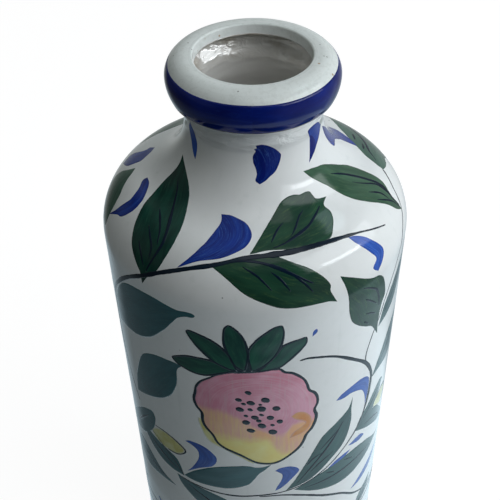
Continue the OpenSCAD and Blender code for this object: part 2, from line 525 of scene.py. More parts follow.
def lining_material():
    """Thin warm-grey glaze inside, lumpy and patchy brown under the mouth, painted paler in the throat as
    painted light and darker lower down as painted shade.
    """
    m = Nodes("warm_lining_glaze")
    where = m.place()
    z = m.split(where)[2]
    cloud = m.noise(where, 34.0, 5.0, 0.6, 0.4)
    colour = m.mix(m.ramp(cloud, 0.3, 0.7), (0.6, 0.585, 0.55), (0.73, 0.715, 0.68))
    # patchy brown darkening, from the throat up to the collar under the mouth
    brown_under_mouth = m.times(m.ramp(z, 0.316, 0.3305), m.ramp(m.noise(where, 60.0, 4.0), 0.4, 0.62))
    colour = m.mix(m.times(brown_under_mouth, 0.75), colour, (0.3, 0.24, 0.16))
    # painted shade: darker further down inside the pot
    deep = m.ramp(z, 0.302, 0.26)
    colour = m.mix(m.times(deep, 0.45), colour, (0.24, 0.22, 0.19))
    spots = speck_mask(m, where, 90.0, 0.09, 0.12)
    colour = m.mix(m.times(spots, 0.7), colour, (0.16, 0.12, 0.08))
    # painted light: paler in the throat below the hollow, lifting the shade there
    throat = m.ramp(z, 0.3225, 0.3185)
    colour = m.mix(m.times(throat, m.ramp(z, 0.298, 0.312, 0.3, 0.62)), colour, (0.93, 0.915, 0.88))
    ridges = m.noise(m.stretch(where, (28, 28, 210)), 1.0, 4.0, 0.62, 0.3)
    height = m.plus(m.times(ridges, 0.45), m.times(m.noise(where, 120.0, 3.0), 0.4))
    lumps = m.noise(m.stretch(where, (125, 125, 165)), 1.0, 3.0, 0.5, 0.6)
    height = m.plus(height, m.times(m.ramp(z, 0.318, 0.324, 0, 4.2), lumps))
    return m.finish(colour, m.ramp(cloud, 0.3, 0.7, 0.06, 0.11), m.bump(height, 0.0003, 0.9), 2.25)


def clay_material():
    """Bare fired earthenware, with turning marks, grog and wear."""
    m = Nodes("bare_earthenware")
    where = m.place()
    x, y = m.split(where)[:2]
    cloud = m.noise(where, 30.0, 5.0, 0.6)
    rings = m.math("SINE", m.plus(m.times(m.reach(x, y), 2600.0), m.times(cloud, 6.0)))
    grit = m.noise(where, 620.0, 2.0, 0.7)
    colour = m.mix(m.ramp(cloud, 0.3, 0.7), (0.36, 0.2, 0.115), (0.52, 0.33, 0.2))
    colour = m.mix(m.ramp(rings, 0.2, 1.0, 0, 0.3), colour, (0.3, 0.165, 0.1))
    colour = m.mix(m.ramp(grit, 0.62, 0.72, 0, 0.7), colour, (0.6, 0.47, 0.36))
    height = m.plus(m.times(rings, 0.35), grit)
    return m.finish(colour, m.ramp(grit, 0.3, 0.7, 0.72, 0.92), m.bump(height, 0.0002, 0.7))


GLAZE_THROUGH_PAINT = (0.6, 0.64, 0.62)


def paint_material(name, deep, mid, pale, streaks=1.3, pale_amount=0.5, rim=0.5, dry=0.0, ior=1.41):
    """Enamel laid with a brush. Streaks run along the stroke, the edge pools dark, and a dry brush
    lets glaze through."""
    m = Nodes(name)
    brush = m.brush()
    where = m.place()
    edge = m.split(brush)[2]
    # every piece takes its streaks from another place
    own = m.add("ShaderNodeObjectInfo").outputs["Random"]
    moved = m.add("ShaderNodeVectorMath", operation="ADD")
    m.put(moved.inputs[0], brush)
    m.put(moved.inputs[1], m.vector(m.times(own, 90.0), m.times(own, 37.0)))
    moved = moved.outputs[0]
    hairs = m.noise(m.stretch(moved, (0.11, streaks, 0.05)), 1.0, 5.0, 0.68, 0.3)
    bands = m.noise(m.stretch(moved, (0.05, streaks * 0.2, 0.05)), 1.0, 2.0, 0.5, 0.3)
    pools = m.noise(where, 120.0, 5.0, 0.62)
    grain = m.noise(where, 1100.0, 2.0, 0.6)
    colour = m.mix(m.ramp(bands, 0.2, 0.8), deep, mid)
    lines = m.times(m.ramp(hairs, 0.48, 0.7), m.ramp(pools, 0.35, 0.62, 0.15, 1.0))
    lines = m.times(lines, m.ramp(grain, 0.3, 0.6, 0.45, 1.0))
    colour = m.mix(m.times(lines, pale_amount), colour, pale)
    colour = m.mix(m.times(m.ramp(edge, 0.9, 0.25), rim), colour, deep)
    if dry:
        bare = m.times(m.ramp(hairs, 0.62, 0.74), m.ramp(pools, 0.5, 0.7, 0, dry))
        colour = m.mix(bare, colour, GLAZE_THROUGH_PAINT)
    height = m.plus(hairs, m.times(pools, 0.4))
    return m.finish(colour, m.ramp(hairs, 0.3, 0.8, 0.05, 0.11), m.bump(height, 0.00005, 0.55), ior)


def fruit_material():
    """Rose wash turning to ochre and yellow below, in curved strokes, with an orange bruise."""
    m = Nodes("rose_fruit_wash")
    brush = m.brush()
    x, y = m.split(brush)[:2]
    cloud = m.noise(m.stretch(brush, (0.06, 0.06, 0.0)), 1.0, 3.0, 0.55)
    uprights = m.noise(m.stretch(brush, (0.75, 0.05, 0.0)), 1.0, 3.0, 0.6)
    # strokes curved round a point a little above the middle
    polar = m.vector(m.times(m.math("ARCTAN2", y, x), 1.1), m.reach(x, m.plus(y, 4.0)))
    arcs = m.noise(polar, 1.15, 4.0, 0.65, 0.35)
    rose = m.mix(m.ramp(cloud, 0.35, 0.65), (0.68, 0.275, 0.375), (0.77, 0.38, 0.5))
    rose = m.mix(m.ramp(arcs, 0.5, 0.7, 0, 0.36), rose, (0.84, 0.56, 0.64))
    red_arcs = m.times(m.ramp(arcs, 0.5, 0.34, 0, 0.6), m.ramp(y, -14.0, -26.0, 0.25, 1.0))
    rose = m.mix(red_arcs, rose, (0.7, 0.17, 0.25))
    rose = m.mix(m.ramp(uprights, 0.48, 0.72, 0, 0.45), rose, (0.68, 0.44, 0.5))
    yellow = m.mix(m.ramp(cloud, 0.35, 0.7), (0.88, 0.74, 0.23), (0.9, 0.83, 0.33))
    ochre = m.mix(m.ramp(uprights, 0.4, 0.7), (0.8, 0.46, 0.34), (0.84, 0.58, 0.3))
    # the rose ends along a ragged line that falls to the right, then rises again
    drift = m.times(m.minus(cloud, 0.5), 9.0)
    rosy = m.minus(m.ramp(x, -20.0, 15.0, -6.5, 12.5), m.ramp(x, 13.5, 19.5, 0.0, 7.5))
    level = m.plus(m.minus(y, rosy), drift)
    colour = m.mix(m.ramp(level, -1.0, 5.0), rose, ochre)
    flame = m.most(m.times(m.ramp(x, -5.0, 1.0), m.ramp(x, 10.5, 5.0)), m.ramp(x, 12.0, 19.0))
    flame = m.times(flame, m.times(m.ramp(level, 1.0, 4.0), m.ramp(level, 19.0, 7.0)))
    colour = m.mix(m.times(flame, 0.6), colour, (0.88, 0.46, 0.17))
    ripe = m.minus(y, m.ramp(x, 4.0, 14.0, 14.5, 27.5))
    colour = m.mix(m.ramp(m.plus(ripe, drift), -2.0, 6.0), colour, yellow)
    height = m.plus(uprights, m.times(arcs, 0.3))
    return m.finish(colour, m.ramp(arcs, 0.3, 0.8, 0.05, 0.12), m.bump(height, 0.00005, 0.5))


def wash_material(name, thick, thin, around):
    """A thin wash of colour that fades out at its edge to the colour around it."""
    m = Nodes(name)
    edge = m.split(m.brush())[2]
    cloud = m.noise(m.place(), 120.0, 4.0, 0.6)
    colour = m.mix(m.ramp(cloud, 0.35, 0.65), thick, thin)
    fade = m.ramp(m.plus(edge, m.times(cloud, 0.8)), 0.3, 2.2)
    colour = m.mix(fade, around, colour)
    return m.finish(colour, m.ramp(cloud, 0.3, 0.8, 0.05, 0.1), m.bump(cloud, 0.00004, 0.4))


GLAZE, LINING, CLAY = glaze_material(), lining_material(), clay_material()
# Painted light and shade in the leaf greens, copies of one green as it looks lit where it lies: LOW_LEAF,
# teal, for the low leaves on the right and those out of sight; SHADE_LEAF, bluer and paler, the painted
# shade at the lower left; FAR_LEAF, paler, the painted sheen on leaves at the sides; DEEP_LEAF, darker, the
# painted shade at the upper left; MID_LEAF, paler, the painted light at the upper right.
LEAF = paint_material("leaf_green_enamel", (0.006, 0.034, 0.022), (0.016, 0.066, 0.036), (0.1, 0.18, 0.055),
                      streaks=1.0, pale_amount=0.42, rim=0.4, ior=1.38)
LOW_LEAF = paint_material("leaf_teal_enamel", (0.008, 0.05, 0.05), (0.018, 0.085, 0.08), (0.07, 0.17, 0.13),
                          streaks=1.0, pale_amount=0.36, rim=0.4)
SHADE_LEAF = paint_material("leaf_bluish_enamel", (0.012, 0.085, 0.1), (0.022, 0.12, 0.14),
                            (0.07, 0.19, 0.18), streaks=1.0, pale_amount=0.3, rim=0.4)
FAR_LEAF = paint_material("leaf_thin_enamel", (0.03, 0.08, 0.058), (0.055, 0.13, 0.095), (0.12, 0.2, 0.14),
                          streaks=1.3, pale_amount=0.5, rim=0.3)
DEEP_LEAF = paint_material("leaf_deep_enamel", (0.001, 0.024, 0.02), (0.004, 0.062, 0.042),
                           (0.03, 0.13, 0.07), streaks=1.0, pale_amount=0.36, rim=0.4, ior=1.38)
MID_LEAF = paint_material("leaf_pale_enamel", (0.026, 0.07, 0.042), (0.052, 0.125, 0.074),
                          (0.14, 0.22, 0.1), streaks=1.1, pale_amount=0.42, rim=0.4)
CROWN = paint_material("crown_green_enamel", (0.004, 0.045, 0.04), (0.012, 0.1, 0.065), (0.05, 0.19, 0.1),
                       streaks=0.9, pale_amount=0.4, rim=0.5, ior=1.36)
VEIN = paint_material("vein_dark_enamel", (0.001, 0.008, 0.022), (0.003, 0.014, 0.032),
                      (0.012, 0.04, 0.055), streaks=1.6, pale_amount=0.25, ior=1.3)
BRANCH = paint_material("branch_dark_enamel", (0.002, 0.008, 0.018), (0.006, 0.017, 0.032),
                        (0.03, 0.06, 0.09), streaks=1.4, pale_amount=0.3, ior=1.33)
OUTLINE = paint_material("outline_blue_black_enamel", (0.003, 0.014, 0.028), (0.01, 0.03, 0.046),
                         (0.03, 0.07, 0.1), streaks=1.4, pale_amount=0.3, ior=1.33)
BLUE = paint_material("cobalt_stroke_enamel", (0.001, 0.013, 0.16), (0.004, 0.04, 0.31), (0.05, 0.16, 0.52),
                      streaks=2.6, pale_amount=0.62, rim=0.6, dry=0.22)
NECK_BLUE = paint_material("cobalt_thick_enamel", (0.001, 0.006, 0.1), (0.003, 0.02, 0.2),
                           (0.05, 0.13, 0.42), streaks=2.6, pale_amount=0.85, rim=0.4, dry=0.3, ior=1.33)
# painted sheen: a paler copy of the cobalt, for strokes where the glaze mirrors light over the blue
LOW_BLUE = paint_material("cobalt_painted_sheen_enamel", (0.005, 0.045, 0.3), (0.024, 0.105, 0.5),
                          (0.12, 0.27, 0.68), streaks=2.0, pale_amount=0.6, rim=0.5, dry=0.25)
BAND = paint_material("cobalt_band_enamel", (0.001, 0.006, 0.1), (0.002, 0.013, 0.17), (0.01, 0.04, 0.26),
                      streaks=0.55, pale_amount=0.35, rim=0.2, ior=1.33)
FRUIT = fruit_material()
ORANGE = wash_material("orange_wash", (0.66, 0.24, 0.05), (0.7, 0.34, 0.12), (0.64, 0.36, 0.3))
YELLOW = wash_material("yellow_wash", (0.6, 0.56, 0.18), (0.72, 0.71, 0.36), (0.77, 0.79, 0.76))

# ---------------------------------------------------------------- glaze skins and foot
# the round outside of the lip: a small curve above and a fuller one below, as (centre, radius)
UPPER_C, UPPER_R = (31.0, 330.0), 10.0 - INSET
LOWER_C, LOWER_R = (22.5, 330.0), 18.5 - INSET
LOWER_TURN = 29.8
lip_outline = (
    [(26.85, 334.6), (26.92, 335.2), (27.1, 336.4), (27.35, 337.6)] + arc((28.45, 338.6), 1.0, 172, 92, 9)
    + arc(UPPER_C, UPPER_R, 90, 0, 26) + arc(LOWER_C, LOWER_R, 0, -LOWER_TURN, 22)[1:]
    + arc((37.86, 321.2), 0.8 - INSET * 0.5, -LOWER_TURN, -90, 5)[1:]
    + [(36.5, 320.55), (34.6, 320.4), (33.1, 320.1)])
LIP_BACK = ((32.3, 321.2), (36.5, 321.6), (40.2, 330.0), (37.5, 336.5), (31.0, 339.2), (28.6, 339.0),
            (27.8, 338.2), (27.5, 336.8), (27.15, 334.6))


def lip_waver(azimuth, r, z):
    """How far the lip stands out, in mm: it isn't quite round, and its mouth is off centre."""
    t = np.radians(azimuth)
    mouth = 0.2 * np.cos(t) * max(0.0, min(1.0, (31.0 - r) / 2.0))
    return (0.10 * np.sin(2 * t + 1.1) + 0.05 * np.sin(5 * t)) * min(1, max(0, (z - 320) / 4)) - mouth


def stations(first, bend, *counts):
    """Places down the wall from first to the foot, with counts of them in the stretches between."""
    ends = (first, bend, S_HOLLOW, S_WALL, S_CORNER, S_END)
    return np.concatenate([[first]] + [np.linspace(a, b, n)[1:] for a, b, n in zip(ends, ends[1:], counts)])


SKIN_TURNS = 320
SKIN_BACK = -0.28       # the inside of the skin, from its outside
azimuths = np.arange(SKIN_TURNS) * 360.0 / SKIN_TURNS
wall_s = stations(0.6, NECK_END, 9, 36, 36, 100, 12)
rows = [round_axis(azimuths, r + lip_waver(azimuths, r, z), z) for r, z in lip_outline]
rows += [on_wall(azimuths, np.full(SKIN_TURNS, s)) for s in wall_s]
rows += [on_wall(azimuths, np.full(SKIN_TURNS, s), SKIN_BACK) for s in [*wall_s[::-6], wall_s[0]]]
rows += [round_axis(azimuths, r, z) for r, z in LIP_BACK]
faces = grid_faces(len(rows), SKIN_TURNS, close_columns=True, flip=True)
last = (len(rows) - 1) * SKIN_TURNS
faces += [(j, (j + 1) % SKIN_TURNS, last + (j + 1) % SKIN_TURNS, last + j) for j in range(SKIN_TURNS)]
finish_piece(new_object("glaze_outer", np.concatenate(rows), faces), GLAZE, "white_glaze", "outer_glaze")


def lining_ripple(azimuth, r, z):
    """Throwing ridges inside, wound in a slow spiral."""
    t = np.radians(azimuth)
    ridges = 0.05 * np.sin(z / 1.05 - t) + 0.06 * np.sin(z / 0.85 + 7 * t) * np.sin(4 * t + z / 2.1)
    return ((ridges + 0.1 * np.sin(z / 2.3 + 2 * t) + 0.16 * np.sin(3 * t + z / 9))
            * min(1, max(0, (332 - z) / 3)))


LINING_DEPTH = 4.3      # from the CAD outline in to the lining
inner = []
for s in stations(0, 24, 60, 24, 26, 40, 8):
    r, z, n = wall(s)
    inner.append((float(r - LINING_DEPTH * math.cos(n)), float(z - LINING_DEPTH * math.sin(n))))
# the hollow under the mouth, from the collar down to the throat
hollow = smooth_curve([(26.95, 334.85), (27.6, 334.0), (29.6, 333.4), (31.8, 332.5), (33.2, 331.0),
                       (33.3, 329.3), (32.5, 327.4), (31.3, 325.6), (30.2, 323.9), (29.35, 322.3),
                       (28.85, 320.8), (28.7, 319.6)], 34)
lining = [tuple(q) for q in hollow] + inner + [(40.0, 8.35), (4.0, 8.3)]
lining += [(4.0, 7.9), (40.0, 7.9)] + [(r + 0.5, z - 0.35) for r, z in inner[::-4]]
lining += [(29.25, 320.3)] + [(r + 0.6, z - 0.1) for r, z in hollow[-2::-1]]
finish_piece(lathe("glaze_lining", lining, 256, lining_ripple), LINING, "lining_glaze", "lining_glaze")

clay_lip = [(30.0, 321.0), (32.0, 320.9), (36.2, 321.8), (39.5, 327.0), (40.0, 330.2), (38.3, 335.5),
            (34.0, 338.7), (29.0, 338.6), (28.2, 337.6), (27.9, 335.6), (29.0, 334.6), (31.4, 333.9),
            (33.8, 332.4), (34.7, 330.2), (34.5, 327.6), (33.3, 325.2), (31.4, 322.6)]
finish_piece(lathe("clay_lip", clay_lip, 128), CLAY, "bare_clay", "lip_ring")

FOOT_W, FOOT_H, FOOT_EDGE_R = 8.0, 3.9, 1.2


def foot_wear(azimuth, r, z):
    t = np.radians(azimuth)
    return -0.25 + 0.12 * np.sin(3 * t) + 0.08 * np.sin(11 * t + z)


foot = (arc((CORNER_X - FOOT_EDGE_R, FOOT_EDGE_R), FOOT_EDGE_R, -90, 0, 6)
        + [(CORNER_X, FOOT_H), (CORNER_X - FOOT_W, FOOT_H)]
        + arc((CORNER_X - FOOT_W + FOOT_EDGE_R, FOOT_EDGE_R), FOOT_EDGE_R, 180, 270, 6))
finish_piece(lathe("foot_ring_worn", foot, 192, foot_wear), CLAY, "bare_clay", "foot_ring")

for name in ("base_dish", "body_wall", "shoulder", "neck"):
    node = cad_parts[name]
    node.data.materials.clear()
    node.data.materials.append(CLAY)


# ---------------------------------------------------------------- painted bands
BAND_LIFT = 0.06
BAND_TURNS, BAND_ROWS = 360, 20


def band(name, line, top_edge, low_edge, *stands_for):
    """A band painted right round. line(u, azimuth) gives (r, z, normal angle) at u mm down the surface."""
    tops, undersides, brush = [], [], []
    v = np.linspace(0, 1, BAND_ROWS)
    for i, a in enumerate(np.arange(BAND_TURNS) * 360.0 / BAND_TURNS):
        t = math.radians(a)
        u = top_edge(a) + (low_edge(a) - top_edge(a)) * v
        for k in range(BAND_ROWS):
            r, z, n = line(u[k], a)
            edge = min(v[k], 1 - v[k]) * 12
            for target, rise in ((tops, BAND_LIFT * min(1, 0.6 + edge)), (undersides, SUNK)):
                rr, zz = r + rise * math.cos(n), z + rise * math.sin(n)
                target.append((rr * math.sin(t) * MM, -rr * math.cos(t) * MM, zz * MM))
            brush.append((i * 0.72, v[k] * 16.0, edge))
    obj = shell(name, np.array(tops), np.array(undersides), BAND_TURNS, BAND_ROWS, np.array(brush),
                closed=True)
    finish_piece(obj, BAND, "cobalt_enamel", *stands_for)


def lip_line(u, azimuth):
    """Down the outside of the lip; u is the arc distance in mm from the top of its upper curve."""
    upper = UPPER_R * math.pi / 2
    if u < upper:
        centre, radius, a = UPPER_C, UPPER_R, math.pi / 2 - u / UPPER_R
    else:
        centre, radius, a = LOWER_C, LOWER_R, -(u - upper) / LOWER_R
    r, z = centre[0] + radius * math.cos(a), centre[1] + radius * math.sin(a)
    return r + float(lip_waver(azimuth, r, z)), z, a


ring_rng = random.Random("band")
waves = [(k, ring_rng.uniform(0, 6.3), ring_rng.uniform(0.4, 1)) for k in (2, 3, 5, 7, 12)]


def hand(a, size, shift):
    """A hand-drawn waver round the pot, in mm."""
    return size * sum(w * math.sin(k * math.radians(a) + p + shift * k) / (1 + 0.4 * k)
                      for k, p, w in waves)


band("band_lip_blue", lip_line,
     lambda a: 9.05 + hand(a, 0.16, 0), lambda a: 24.4 + hand(a, 0.1, 2), "lip_band")


def wall_line(u, azimuth):
    """Down the glaze skin of the wall."""
    r, z, n = wall(u)
    out = -INSET + float(unevenness(azimuth, z))
    return float(r) + out * math.cos(n), float(z) + out * math.sin(n), float(n)


def s_at(z):
    """How far down the straight wall the height z is."""
    return S_WALL + (WALL_TOP[1] - z) / math.cos(LEAN)


band("band_foot_blue", wall_line,
     lambda a: s_at(21.0) + hand(a, 0.5, 1), lambda a: s_at(14.0) + hand(a, 0.5, 4), "foot_band")
band("line_foot_blue", wall_line,
     lambda a: s_at(26.0) + hand(a, 0.4, 3), lambda a: s_at(24.6) + hand(a, 0.35, 5))

# ---------------------------------------------------------------- painted plants, seen side
PLANTS = []     # (maker, name, arguments, keywords, material, slot)
RIB_WIDTHS, VEIN_WIDTHS = (0.2, 0.6, 0.85, 0.7, 0.35), (0.2, 0.55, 0.5, 0.2)


def paint(maker, name, arguments, material, slot, **keywords):
    PLANTS.append((maker, name, arguments, keywords, material, slot))


def line(name, points, widths, material, **keywords):
    paint(stroke, name, (points, widths), material, "dark_enamel", **keywords)


def leaf(name, start, side_a, side_b, end, rib=None, veins=(), material=None):
    """A leaf, with its rib and veins. Its green is painted light: low leaves take a bluer copy of the green
    than high ones, and those at the left the bluest, a painted shade.
    """
    material = material or (LEAF if start[1] < 92 else LOW_LEAF if start[0] > 8 else SHADE_LEAF)
    paint(patch, "leaf_" + name, (start, side_a, side_b, end), material, "leaf_enamel")
    if rib:
        line("rib_" + name, rib, RIB_WIDTHS, VEIN)
    for k, points in enumerate(veins):
        line(f"vein_{name}_{k}", points, VEIN_WIDTHS, VEIN)


def blue(name, start, side_a, side_b, end, material=None, **keywords):
    # strokes low on the wall take the painted sheen of LOW_BLUE
    material = material or (LOW_BLUE if start[1] > 150 else BLUE)
    paint(patch, "dab_" + name, (start, side_a, side_b, end), material, "cobalt_enamel", **keywords)


def branch(name, points, widths, **keywords):
    line("branch_" + name, points, widths, BRANCH, lift=0.06, **keywords)


branch("main", [(-60, 190), (-66, 175), (-72, 155), (-73, 135), (-70, 117), (-62, 103.8), (-52.5, 91.9),
                (-43.5, 83.5), (-35, 76.5), (-25, 70.4), (-15, 66), (-5, 62), (5, 60.7), (15, 60.4),
                (25, 60.3), (35, 61.2), (45, 63.5), (53, 66.9), (60.5, 70.3)],
       (0.35, 0.45, 0.6, 0.7, 0.95, 1.2, 1.25, 1.05, 1.1, 1.15, 1.1, 1.15, 1.35, 1.35, 1.05, 0.45, 0.3))
leaf("under_branch", (-17.2, 66.8), [(-10, 63.3), (-2, 61.7), (5, 61.2), (9, 61.8), (15, 65.8), (20, 69.6),
                                     (24, 74.2), (26.7, 79.6), (26.5, 83.5)],
     [(-10, 72.5), (-3, 79.2), (6, 85.2), (12, 87.3), (18, 87.9), (23, 88.2), (26.2, 88.9)], (29, 90.8),
     rib=[(-10, 64.2), (-4, 63.2), (2, 64), (8, 66.7), (13, 70.4), (18, 74.6), (20.5, 76.8)],
     veins=([(-5, 65.8), (0, 69.6), (3, 73.3), (5.5, 77)], [(5.5, 68.3), (9, 72.5), (12, 78.3)],
            [(13.5, 71.2), (17, 75.4), (20, 81)]))
leaf("over_branch", (-2.5, 60), [(3, 50.4), (7.5, 44.2), (12, 39.6), (16, 36.2), (20.5, 34.6), (25.5, 34.2),
                                 (30, 35), (34.5, 34.8), (37.4, 35.6), (37.3, 38), (40, 40)],
     [(5, 58.4), (12.5, 59), (20, 60), (32, 59.8), (37.5, 55), (40.8, 50.8), (42, 47.5), (41, 45),
      (41.8, 43)], (46, 41.2),
     rib=[(7.5, 57.5), (12.5, 56), (17, 54), (22.5, 51.7), (27.5, 49.6), (32.5, 46.7), (38.5, 43.3)],
     veins=([(7, 54.6), (9.5, 50.4), (12, 47.5), (14.8, 45.4)],
            [(16.5, 52.9), (20, 49.2), (24, 44.6), (28.5, 41.7)]))
leaf("upper_left", (-67.5, 25.4), [(-59, 28.5), (-50, 32.9), (-45.5, 36.2), (-42, 40.4), (-37, 50.4),
                                   (-35, 58), (-35.5, 67.7), (-37.8, 77.3), (-41, 82)],
     [(-66, 30.8), (-67.5, 40.8), (-64.5, 50.4), (-59, 61.2), (-53, 73.1), (-47.5, 80), (-45, 82.9)],
     (-43.7, 88.2),
     rib=[(-58, 35.8), (-53, 40), (-48.5, 45.8), (-45, 50.8), (-42, 55.8), (-40, 61.5), (-39.8, 67.7),
          (-42.5, 80.8)],
     veins=([(-53.5, 51.2), (-48.5, 55), (-44, 60), (-41.5, 66.2)],
            [(-50.5, 60.8), (-47, 64.2), (-43.5, 68.5), (-42.5, 74)],
            [(-50.5, 69.2), (-47, 73.8), (-44, 78.5)]), material=DEEP_LEAF)
leaf("upper_right", (38.2, 25.8), [(50, 27.1), (60, 29.2), (70, 33.8), (79.5, 40.4), (83.1, 48.3),
                                   (81.2, 59.2), (77.5, 64.6), (76.3, 69)],
     [(44, 31.2), (52, 38.3), (57, 47.5), (61.5, 55.4), (69, 65), (73, 72)], (76.8, 76),
     rib=[(60, 34.5), (66, 37.6), (72, 42.2), (76.5, 49), (78, 59), (76, 66.5), (76.5, 73.5)],
     veins=([(69, 45.4), (76, 55.5), (76.5, 61), (75.5, 68.5)], [(68.5, 54.5), (72.5, 60), (73.5, 66)],
            [(67.5, 60), (73.5, 67), (76, 74)]), material=MID_LEAF)
leaf("right_shoulder", (31, 77.8), [(37, 82), (45, 88.2), (49, 90), (52, 93.3), (54, 98.3), (55.6, 107.5),
                                    (54, 113), (52.9, 122)],
     [(33.5, 89.2), (35, 102.5), (36.5, 109.2), (40, 115), (44, 119.2), (48, 122.9), (50.5, 127.5)],
     (53, 133),
     rib=[(41, 91.2), (45.5, 95), (49, 99.2), (51, 105.8), (52, 113)],
     veins=([(42.8, 100), (46, 103.8), (50, 109.2)], [(43.8, 110.4), (47, 112.9), (50, 115.8)],
            [(43.2, 115.4), (46, 119.2)]))
leaf("left_body", (-21.7, 95), [(-22.4, 93.8), (-25, 93.7), (-29, 94.5), (-35, 93.6), (-40, 93.3),
                                (-50, 95.4), (-57.5, 100.4), (-64, 109.2), (-68.5, 120), (-70.5, 130)],
     [(-22.5, 96.3), (-25.5, 97.2), (-29, 100), (-31.5, 104.6), (-36, 113), (-44, 124.5), (-52, 130.5),
      (-61, 134)], (-70, 138.5))
leaf("left_hanging", (-28.8, 133), [(-34, 133), (-43, 135.9), (-50.5, 143.2), (-55.5, 156.4), (-59, 170)],
     [(-31.5, 137.7), (-32.5, 149), (-36.5, 160.9), (-43.5, 169.5), (-55, 178.2)], (-60.3, 182))
leaf("under_fruit", (-34, 225.3), [(-27, 215), (-18, 206.8), (-9, 202.7), (-4, 202), (-1, 203), (2, 202.6)],
     [(-27.5, 226), (-13.5, 224), (-5, 219), (-2, 213.6), (0, 208.6), (2.5, 205.3)], (5.2, 201))
leaf("right_rising", (11.5, 225.8), [(15.5, 217.3), (20, 205.5), (25, 191.8), (28, 186.4), (34, 181),
                                     (38, 177.5), (40, 174)],
     [(22.5, 221), (32, 211), (39, 202), (41.6, 189), (41.2, 178)], (41.2, 168.5),
     rib=[(16, 222), (20, 215), (26, 205), (32, 195), (37, 184)],
     veins=([(20.2, 208), (23, 204), (27, 201.5)], [(26, 198.5), (30, 194), (36, 187)],
            [(22, 215), (27, 209.5), (33, 205)]))
leaf("right_lying", (15, 226.6), [(25, 221), (35, 217.5), (45, 216.8), (55, 220.5), (64, 228)],
     [(25, 233.5), (35, 237.8), (45, 238.8), (55, 236.5), (63, 233.5)], (69, 231),
     rib=[(20, 227.5), (33, 228), (47, 228), (60, 229.5)],
     veins=([(30, 222), (35, 225)], [(40, 220), (46, 224)]))
leaf("right_edge_high", (53.5, 129), [(56, 119), (60, 112), (66, 104), (72, 98)],
     [(60, 127), (66, 123), (72, 114), (76, 104)], (77, 93),
     rib=[(57, 123), (64, 115), (72, 103)])
leaf("right_edge_middle", (53.5, 166.5), [(56, 160), (60, 153), (66, 143), (74, 138)],
     [(60, 166), (68, 167), (76, 163), (82, 152)], (85, 139),
     rib=[(58, 162), (67, 155), (77, 146)])
leaf("right_edge_low", (45, 201), [(48, 193), (52, 189), (58, 182), (63, 179)],
     [(52, 203), (58, 199), (63, 191)], (66.5, 182),
     rib=[(50, 196), (56, 191), (62, 185)])
leaf("right_edge_falling", (45, 201), [(55, 198), (62, 200), (69, 210)],
     [(52.5, 207), (60, 213), (68, 219)], (76, 223),
     rib=[(52, 203), (60, 207), (68, 214)])
leaf("low_left_outer", (-49.2, 186.4), [(-53, 188.6), (-60, 195.9), (-68, 206.4), (-73, 215)],
     [(-48, 191), (-50, 201), (-54, 209), (-60, 217)], (-70, 224), rib=[(-53, 194), (-60, 204), (-67, 216)])
leaf("low_left_bud_side", (-62, 206), [(-55, 208.5), (-45, 210.3), (-38, 213), (-35.5, 218.2)],
     [(-57, 216), (-50, 222.7), (-42, 226)], (-34, 226), rib=[(-55, 212), (-45, 218), (-38, 223)])
leaf("low_left_lying", (-39.5, 241), [(-48, 237.3), (-57, 229.5), (-65, 227.5), (-70, 232)],
     [(-50, 243.6), (-60, 247.3), (-67, 246)], (-75, 239), rib=[(-46, 240), (-56, 238), (-66, 237)])
leaf("low_middle", (-38, 227.5), [(-30, 229.5), (-20, 231.8), (-11, 238), (-8, 248)],
     [(-36, 234.5), (-30, 242.7), (-22, 251), (-14, 257)], (-8, 260),
     rib=[(-32, 232), (-22, 240), (-13, 252)])
leaf("left_edge_shoulder", (-91.5, 55), [(-88.5, 56.6), (-85.5, 59), (-82.5, 61.5), (-79, 64.2),
                                         (-77, 67.2), (-75.6, 71), (-75.3, 76)],
     [(-92.5, 59), (-95.5, 66), (-95.5, 74), (-90, 80), (-82, 83.5)], (-75.5, 82), material=FAR_LEAF)
leaf("far_left_shoulder", (-115.5, 63), [(-118, 60), (-120.5, 57.6), (-123.5, 55.2), (-127, 52.7),
                                         (-131, 50.4), (-136, 47.8), (-142, 46.5)],
     [(-119, 63.5), (-125, 64), (-133, 64.5), (-143, 63)], (-153, 52), material=FAR_LEAF)
leaf("far_right_shoulder", (90.8, 60.8), [(92.5, 57), (97.5, 52.5), (105, 50), (115, 49), (126, 51),
                                          (135.5, 55.5)],
     [(94, 63), (98, 65), (103.5, 67), (109, 73), (120, 76), (132, 73)], (145, 63),
     rib=[(96, 57.5), (103.3, 56), (111.7, 57.5), (120, 59), (132, 61)],
     veins=([(104, 53), (110, 55)], [(113, 52), (120, 55)]), material=FAR_LEAF)
branch("right_thin", [(91, 60.5), (89.5, 61.5), (82, 67.5), (76.5, 76.5), (71, 83), (65, 95), (57.5, 110),
                      (53.5, 122), (49.5, 131), (47, 141), (47, 149)],
       (0.5, 0.35, 0.45, 0.35, 0.35, 0.4, 0.4, 0.45, 0.5))
branch("right_curved", [(15.5, 123.2), (20, 123.3), (30, 128.5), (40, 139), (47.5, 149), (52, 160),
                        (52.8, 168), (51.8, 182), (47.5, 196.5), (40, 207), (30, 217), (20, 223.5),
                        (10, 226.6), (0, 228), (-10, 229.6), (-22, 229.6), (-36, 228.5)],
       (0.55, 0.75, 0.85, 0.95, 1.1, 1.2, 1.0, 0.8, 0.55, 0.5, 0.45, 0.4, 0.55, 0.6, 0.55, 0.5))
branch("low", [(0, 229), (10, 229.5), (20, 234.5), (30, 242.5), (40, 251), (50, 263), (62, 272), (76, 276)],
       (0.35, 0.75, 0.8, 0.8, 0.75, 0.6, 0.35))
branch("left_bud", [(-34, 226), (-38, 218), (-47, 208), (-52, 205)], (0.5, 0.5, 0.4))

